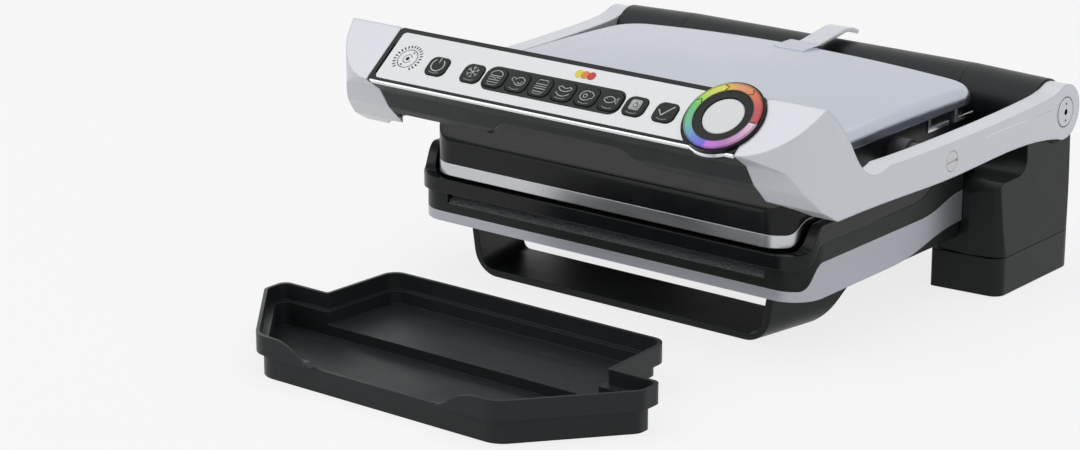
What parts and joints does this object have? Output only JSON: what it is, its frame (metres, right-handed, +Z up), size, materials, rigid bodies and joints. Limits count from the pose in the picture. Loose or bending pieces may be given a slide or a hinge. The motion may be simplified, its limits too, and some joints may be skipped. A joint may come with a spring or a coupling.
{
  "type": "contact grill",
  "caption": "Countertop contact grill with a hinged, floating lid on two arms, a sloping control panel with a round indicator, and a pull-out drip tray.",
  "frame": {"origin": "on the table, at the middle of the front foot's rubber strip", "axes": "+X to the right seen from the front, +Y to the rear, +Z up"},
  "size_m": [0.3608, 0.489, 0.1727],
  "materials": {
    "black_plastic": "fine textured",
    "gloss_black": "glossy",
    "strip_black": "satin",
    "silver_paint": "satin metallic",
    "brushed_lid": "brushed",
    "bright_trim": "bright",
    "satin_panel": "satin",
    "ring_colours": "printed",
    "white_lens": "satin translucent",
    "button_black": "satin",
    "rubber_feet": "matt",
    "steel": "turned",
    "bronze_bush": "plain",
    "sheet_shield": "mill",
    "coated_plate": "non-stick coated",
    "boss_black": "plain",
    "tray_plastic": "satin",
    "board_green": "circuit board"
  },
  "bodies": {
    "base": {"base_housing": "black_plastic", "base_bezel": "gloss_black", "base_skirt": "silver_paint", "front_lip": "black_plastic", "bottom_cover": "black_plastic", "bottom_screws": "steel", "front_foot": "black_plastic", "front_foot_strip": "rubber_feet", "rear_tower_left": "black_plastic", "rear_tower_right": "black_plastic", "rear_foot_left": "black_plastic", "rear_foot_right": "black_plastic", "rear_foot_pads": "rubber_feet", "hinge_tube_left": "black_plastic", "hinge_tube_right": "black_plastic", "hinge_tube_centre": "black_plastic", "hinge_bushings": "bronze_bush", "rear_housing": "black_plastic", "lower_plate": "coated_plate", "lower_heater": "steel", "lower_heat_shield": "sheet_shield", "lower_thermostat": "steel", "power_board": "board_green", "cable_inlet": "black_plastic"},
    "arms": {"handle_frame": "silver_paint", "handle_grip": "black_plastic", "panel_frame": "gloss_black", "face_plate": "satin_panel", "panel_trim": "bright_trim", "indicator_ring": "ring_colours", "indicator_bezel": "gloss_black", "indicator_lens": "white_lens", "program_strip": "strip_black", "control_board": "board_green", "hinge_shaft": "steel", "hinge_cap_left": "silver_paint", "hinge_cap_right": "silver_paint", "pivot_screws": "steel"},
    "lid": {"lid_cover": "brushed_lid", "lid_housing": "gloss_black", "lid_trim": "bright_trim", "upper_plate": "coated_plate", "upper_heater": "steel", "upper_heat_shield": "sheet_shield", "upper_thermostat": "steel", "cover_clips": "bright_trim", "pivot_bosses": "boss_black", "cable_bridge": "silver_paint"},
    "tray": {"drip_tray": "tray_plastic"},
    "button_power": {"button_power": "button_black"},
    "button_defrost": {"button_defrost": "button_black"},
    "button_program_1": {"button_program_1": "button_black"},
    "button_program_2": {"button_program_2": "button_black"},
    "button_program_3": {"button_program_3": "button_black"},
    "button_program_4": {"button_program_4": "button_black"},
    "button_program_5": {"button_program_5": "button_black"},
    "button_program_6": {"button_program_6": "button_black"},
    "button_manual": {"button_manual": "button_black"},
    "button_confirm": {"button_confirm": "button_black"}
  },
  "joints": [
    {"name": "lid_hinge", "type": "hinge", "parent": "base", "child": "arms", "pos_m": [0, 0.209, 0.108], "axis": [-1, 0, 0], "range_deg": [0, 95]},
    {"name": "plate_float", "type": "hinge", "parent": "arms", "child": "lid", "pos_m": [0, 0.071, 0.1065], "axis": [-1, 0, 0], "range_deg": [0, 2]},
    {"name": "tray_slide", "type": "slide", "parent": "base", "child": "tray", "axis": [0, 1, 0], "range_m": [0, 0.146]},
    {"name": "power_press", "type": "slide", "parent": "arms", "child": "button_power", "axis": [0, 0.6115, -0.7912], "range_m": [0, 0.0008], "stiffness_N_per_m": 800},
    {"name": "defrost_press", "type": "slide", "parent": "arms", "child": "button_defrost", "axis": [0, 0.6115, -0.7912], "range_m": [0, 0.0008], "stiffness_N_per_m": 800},
    {"name": "program_1_press", "type": "slide", "parent": "arms", "child": "button_program_1", "axis": [0, 0.6115, -0.7912], "range_m": [0, 0.0008], "stiffness_N_per_m": 800},
    {"name": "program_2_press", "type": "slide", "parent": "arms", "child": "button_program_2", "axis": [0, 0.6115, -0.7912], "range_m": [0, 0.0008], "stiffness_N_per_m": 800},
    {"name": "program_3_press", "type": "slide", "parent": "arms", "child": "button_program_3", "axis": [0, 0.6115, -0.7912], "range_m": [0, 0.0008], "stiffness_N_per_m": 800},
    {"name": "program_4_press", "type": "slide", "parent": "arms", "child": "button_program_4", "axis": [0, 0.6115, -0.7912], "range_m": [0, 0.0008], "stiffness_N_per_m": 800},
    {"name": "program_5_press", "type": "slide", "parent": "arms", "child": "button_program_5", "axis": [0, 0.6115, -0.7912], "range_m": [0, 0.0008], "stiffness_N_per_m": 800},
    {"name": "program_6_press", "type": "slide", "parent": "arms", "child": "button_program_6", "axis": [0, 0.6115, -0.7912], "range_m": [0, 0.0008], "stiffness_N_per_m": 800},
    {"name": "manual_press", "type": "slide", "parent": "arms", "child": "button_manual", "axis": [0, 0.6115, -0.7912], "range_m": [0, 0.0008], "stiffness_N_per_m": 800},
    {"name": "confirm_press", "type": "slide", "parent": "arms", "child": "button_confirm", "axis": [0, 0.6115, -0.7912], "range_m": [0, 0.0008], "stiffness_N_per_m": 800}
  ]
}
